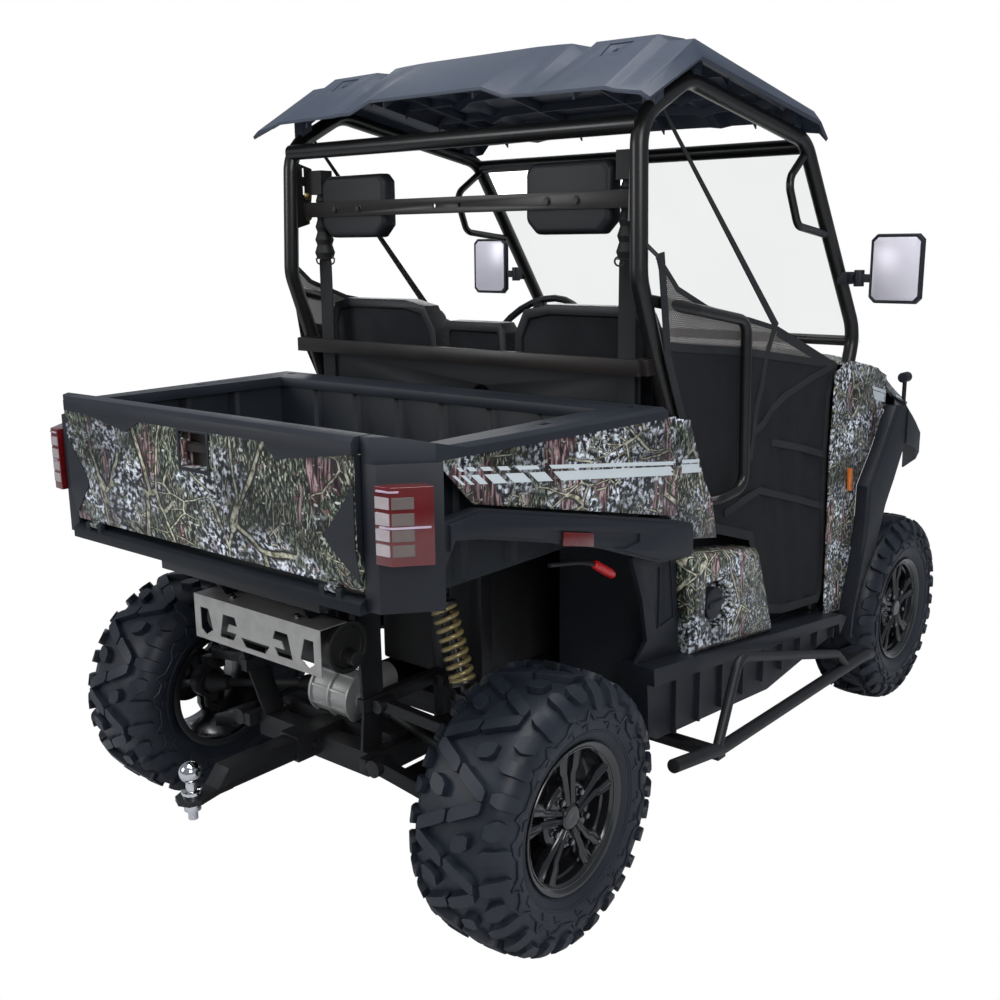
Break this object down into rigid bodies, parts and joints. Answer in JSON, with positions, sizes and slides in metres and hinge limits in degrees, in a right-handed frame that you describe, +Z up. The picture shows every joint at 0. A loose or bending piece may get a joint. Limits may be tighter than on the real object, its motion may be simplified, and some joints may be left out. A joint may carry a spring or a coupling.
{
  "type": "side-by-side utility vehicle",
  "caption": "Off-road side-by-side utility vehicle with open cab, roll cage and roof, bench seats, tipping cargo bed with drop tailgate, hitch ball and lugged tyres.",
  "frame": {"origin": "on the ground under the middle of the vehicle", "axes": "+X forward, +Y to the vehicle's left, +Z up"},
  "size_m": [2.78, 1.692, 2.01],
  "materials": {
    "frame_black": "semi-gloss black powder coat",
    "cage_black": "semi-gloss black powder coat",
    "camo_panel": "moulded plastic with a printed woodland camouflage",
    "black_plastic": "fine-grained black moulded plastic",
    "bed_plastic": "ribbed black moulded plastic",
    "roof_plastic": "charcoal moulded plastic, satin",
    "seat_vinyl": "black seat vinyl",
    "tyre": "tread rubber",
    "rim_black": "gloss black paint",
    "lens_red": "red lamp lens",
    "lens_orange": "orange reflector",
    "lens_clear": "clear lamp lens",
    "windscreen": "clear sheet",
    "mirror": "mirror glass",
    "stainless": "brushed stainless sheet",
    "chrome": "bright chrome plate",
    "cast_alloy": "cast aluminium",
    "spring_gold": "yellow gold coated coil spring",
    "steel_dark": "black painted steel",
    "net_cloth": "black nylon net and webbing"
  },
  "bodies": {
    "chassis": {"main_frame": "frame_black", "ball_mount": "frame_black", "tow_ball": "chrome", "suspension_arms": "steel_dark", "shock_absorbers": "steel_dark", "shock_springs": "spring_gold", "drive_shafts": "steel_dark", "rear_uprights": "cast_alloy", "final_drives": "cast_alloy", "roll_cage": "cage_black", "seat_bars": "cage_black", "side_hoops": "cage_black", "headrests": "black_plastic", "roof": "roof_plastic", "windscreen": "windscreen", "mirror_housings": "black_plastic", "mirror_glasses": "mirror", "floor_pan": "black_plastic", "seat_base": "black_plastic", "seat_cushions": "seat_vinyl", "seat_backs": "black_plastic", "dashboard": "black_plastic", "front_cowls": "camo_panel", "front_fenders": "black_plastic", "hood": "camo_panel", "front_mask": "black_plastic", "headlamps": "lens_clear", "front_bumper": "cage_black", "side_markers": "lens_orange", "rockers": "black_plastic", "quarter_panels": "camo_panel", "side_steps": "cage_black", "engine": "cast_alloy", "muffler": "steel_dark", "heat_shield": "stainless", "side_nets": "net_cloth", "seat_belts": "net_cloth", "seat_sides": "camo_panel", "fuel_cap": "black_plastic", "wheel_liners": "black_plastic"},
    "bed": {"bed_tub": "bed_plastic", "bed_rail": "bed_plastic", "bed_side_panels": "camo_panel", "rear_fenders": "black_plastic", "tail_lamps": "lens_red", "reflectors": "lens_red"},
    "tailgate": {"tailgate": "camo_panel", "gate_trim": "black_plastic"},
    "steering_wheel": {"steering_wheel": "black_plastic"},
    "steering_rack": {"tie_rods": "steel_dark"},
    "knuckle_left": {"front_knuckle_left": "cast_alloy"},
    "knuckle_right": {"front_knuckle_right": "cast_alloy"},
    "wheel_rear_left": {"tyre_rear_left": "tyre", "rim_rear_left": "rim_black"},
    "wheel_rear_right": {"tyre_rear_right": "tyre", "rim_rear_right": "rim_black"},
    "wheel_front_left": {"tyre_front_left": "tyre", "rim_front_left": "rim_black"},
    "wheel_front_right": {"tyre_front_right": "tyre", "rim_front_right": "rim_black"}
  },
  "joints": [
    {"name": "bed_tip", "type": "hinge", "parent": "chassis", "child": "bed", "pos_m": [-1.142, 0, 0.842], "axis": [0, -1, 0], "range_deg": [0, 38]},
    {"name": "tailgate_drop", "type": "hinge", "parent": "bed", "child": "tailgate", "pos_m": [-1.284, 0, 0.876], "axis": [0, -1, 0], "range_deg": [0, 90]},
    {"name": "steer_left", "type": "hinge", "parent": "chassis", "child": "knuckle_left", "pos_m": [0.98, 0.545, 0.315], "axis": [0, 0, 1], "range_deg": [-28, 28]},
    {"name": "steer_right", "type": "hinge", "parent": "chassis", "child": "knuckle_right", "pos_m": [0.98, -0.545, 0.315], "axis": [0, 0, 1], "range_deg": [-28, 28]},
    {"name": "rack_slide", "type": "slide", "parent": "chassis", "child": "steering_rack", "axis": [0, 1, 0], "range_m": [-0.045, 0.045]},
    {"name": "steering_wheel_turn", "type": "hinge", "parent": "chassis", "child": "steering_wheel", "pos_m": [0.376, 0.37, 1.204], "axis": [-0.788, 0, 0.6157], "range_deg": [-270, 270]},
    {"name": "rear_spin_left", "type": "hinge", "parent": "chassis", "child": "wheel_rear_left", "pos_m": [-0.88, 0.612, 0.315], "axis": [0, 1, 0], "continuous": true},
    {"name": "front_spin_left", "type": "hinge", "parent": "knuckle_left", "child": "wheel_front_left", "pos_m": [0.98, 0.628, 0.315], "axis": [0, 1, 0], "continuous": true},
    {"name": "rear_spin_right", "type": "hinge", "parent": "chassis", "child": "wheel_rear_right", "pos_m": [-0.88, -0.612, 0.315], "axis": [0, 1, 0], "continuous": true},
    {"name": "front_spin_right", "type": "hinge", "parent": "knuckle_right", "child": "wheel_front_right", "pos_m": [0.98, -0.628, 0.315], "axis": [0, 1, 0], "continuous": true}
  ],
  "couplings": [
    {"joint": "steer_right", "follows": "steer_left", "ratio": 1},
    {"joint": "rack_slide", "follows": "steer_left", "m_per_rad": -0.09},
    {"joint": "steering_wheel_turn", "follows": "steer_left", "ratio": 9.6}
  ]
}
